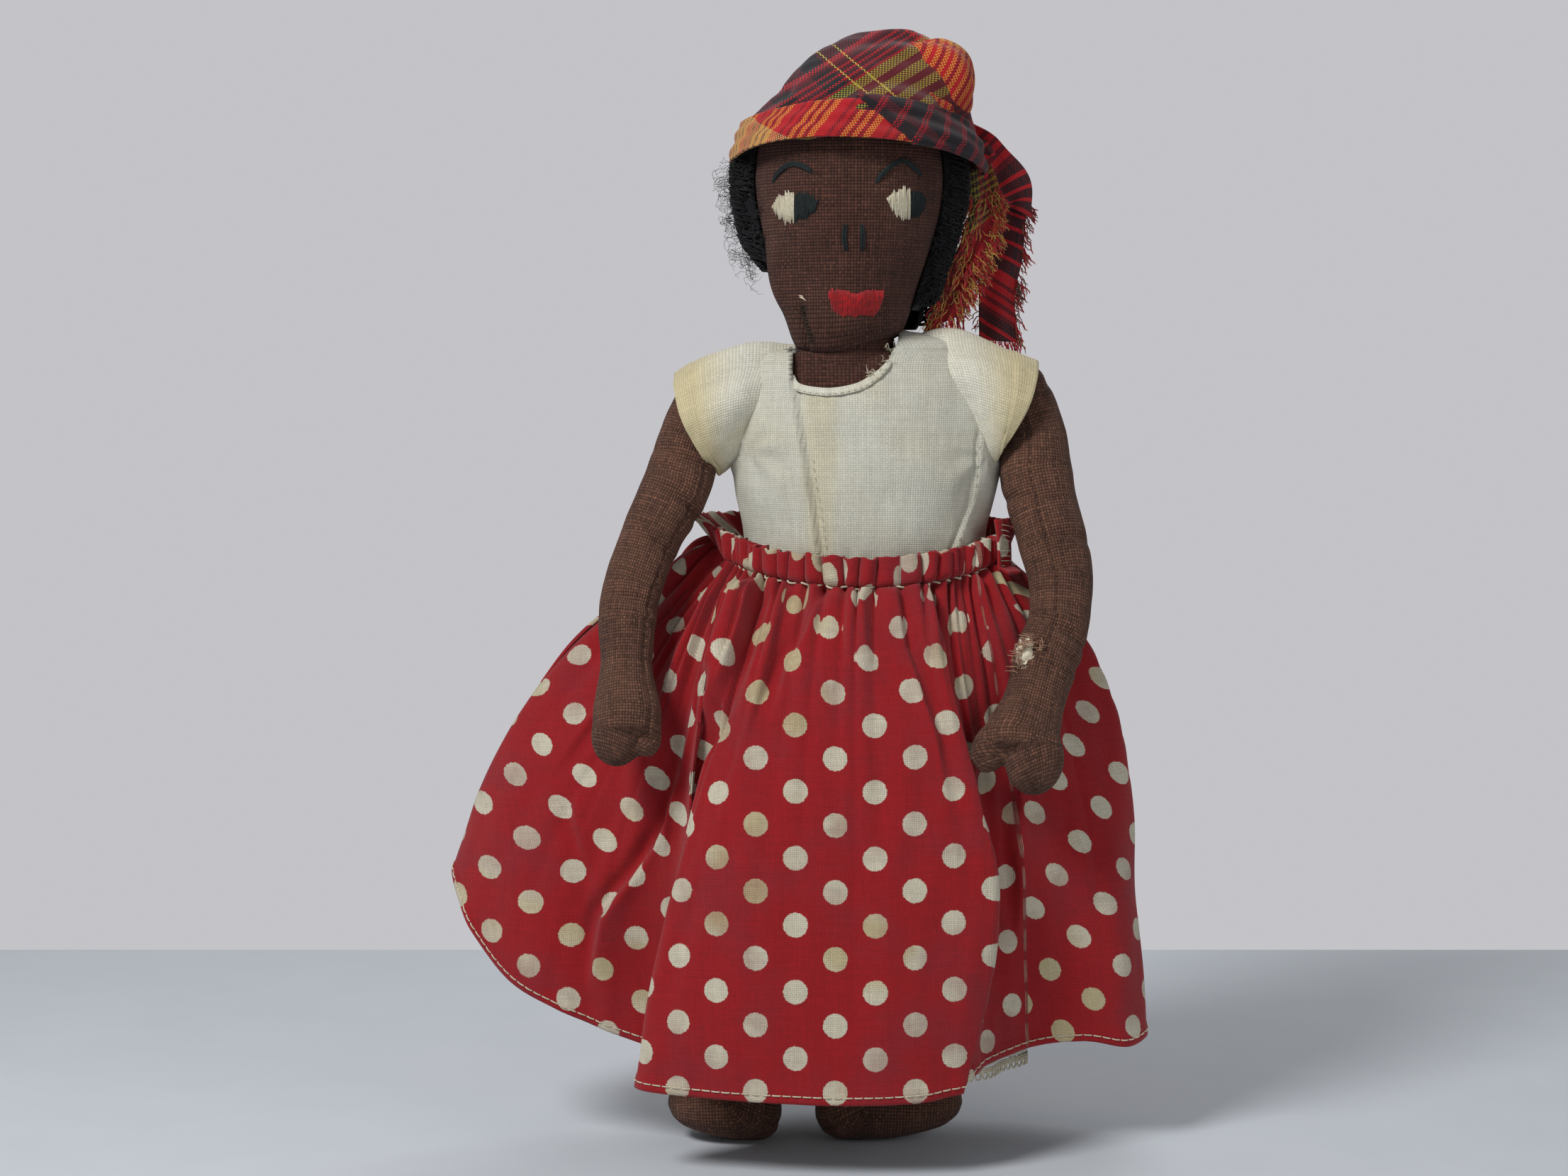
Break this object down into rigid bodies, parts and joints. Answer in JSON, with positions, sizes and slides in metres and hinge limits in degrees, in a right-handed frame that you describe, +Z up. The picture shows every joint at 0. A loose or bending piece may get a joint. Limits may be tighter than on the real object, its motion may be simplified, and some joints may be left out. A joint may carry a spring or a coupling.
{
  "type": "rag doll",
  "caption": "Stuffed cloth doll in a blouse, gathered dotted skirt, petticoat and knotted plaid headscarf; its head, arms, legs and scarf ends move.",
  "frame": {"origin": "on the floor under the middle of the trunk, on the sole of the left foot", "axes": "+Z up from the soles to the scarf, the face towards -Y, the doll's right at -X"},
  "size_m": [0.1663, 0.0774, 0.2614],
  "materials": {
    "brown_cotton": "matt plain-weave cotton",
    "white_cotton": "matt plain-weave cotton, washed thin",
    "red_cotton": "matt printed cotton, cream dots",
    "madras_cotton": "matt woven plaid cotton",
    "black_wool": "fuzzy wool",
    "black_thread": "satin-stitched cotton thread",
    "cream_thread": "satin-stitched cotton thread",
    "red_thread": "satin-stitched cotton thread",
    "cotton_wadding": "loose cotton"
  },
  "bodies": {
    "torso": {"torso": "brown_cotton", "blouse_front": "white_cotton", "blouse_back": "white_cotton", "neck_binding": "white_cotton", "waist_ruffle": "red_cotton", "side_placket": "red_cotton"},
    "neck": {"neck": "brown_cotton"},
    "head": {"head": "brown_cotton", "hair_right": "black_wool", "hair_left": "black_wool", "hair_back": "black_wool", "scarf_band": "madras_cotton", "scarf_wrap": "madras_cotton", "scarf_puff": "madras_cotton", "scarf_knot": "madras_cotton", "right_eye_white": "cream_thread", "left_eye_white": "cream_thread", "right_pupil": "black_thread", "left_pupil": "black_thread", "right_brow": "black_thread", "left_brow": "black_thread", "right_nostril": "black_thread", "left_nostril": "black_thread", "mouth": "red_thread"},
    "scarf_tail_outer": {"scarf_tail_outer": "madras_cotton"},
    "scarf_tail_inner": {"scarf_tail_inner": "madras_cotton"},
    "right_arm": {"right_arm": "brown_cotton", "right_sleeve": "white_cotton"},
    "left_arm": {"left_arm": "brown_cotton", "left_sleeve": "white_cotton", "forearm_wadding": "cotton_wadding"},
    "skirt": {"skirt": "red_cotton", "petticoat": "white_cotton", "petticoat_lace": "cream_thread"},
    "right_leg": {"right_leg": "brown_cotton"},
    "left_leg": {"left_leg": "brown_cotton"}
  },
  "joints": [
    {"name": "neck_nod", "type": "hinge", "parent": "torso", "child": "neck", "pos_m": [-0.0018, 0, 0.18], "axis": [1, 0, 0], "range_deg": [-10, 15], "stiffness_Nm_per_rad": 0.08},
    {"name": "head_turn", "type": "hinge", "parent": "neck", "child": "head", "pos_m": [-0.0018, 0, 0.188], "axis": [0, 0, 1], "range_deg": [-20, 20], "stiffness_Nm_per_rad": 0.03},
    {"name": "outer_tail_swing", "type": "hinge", "parent": "head", "child": "scarf_tail_outer", "pos_m": [0.0295, 0.0085, 0.229], "axis": [0, -1, 0], "range_deg": [0, 25]},
    {"name": "inner_tail_swing", "type": "hinge", "parent": "head", "child": "scarf_tail_inner", "pos_m": [0.029, 0.0045, 0.229], "axis": [1, 0, 0], "range_deg": [-12, 15]},
    {"name": "right_arm_swing", "type": "hinge", "parent": "torso", "child": "right_arm", "pos_m": [-0.0346, 0, 0.176], "axis": [-1, 0, 0], "range_deg": [0, 95], "deforming": ["right_sleeve"]},
    {"name": "left_arm_swing", "type": "hinge", "parent": "torso", "child": "left_arm", "pos_m": [0.0384, 0, 0.176], "axis": [-1, 0, 0], "range_deg": [0, 95], "deforming": ["left_sleeve"]},
    {"name": "hip_bend", "type": "hinge", "parent": "torso", "child": "skirt", "pos_m": [0.0019, 0, 0.108], "axis": [-1, 0, 0], "range_deg": [0, 80], "deforming": ["skirt", "petticoat"]},
    {"name": "right_leg_swing", "type": "hinge", "parent": "skirt", "child": "right_leg", "pos_m": [-0.0107, 0, 0.108], "axis": [-1, 0, 0], "range_deg": [-6, 6]},
    {"name": "left_leg_swing", "type": "hinge", "parent": "skirt", "child": "left_leg", "pos_m": [0.0145, 0, 0.108], "axis": [-1, 0, 0], "range_deg": [-6, 6]}
  ]
}
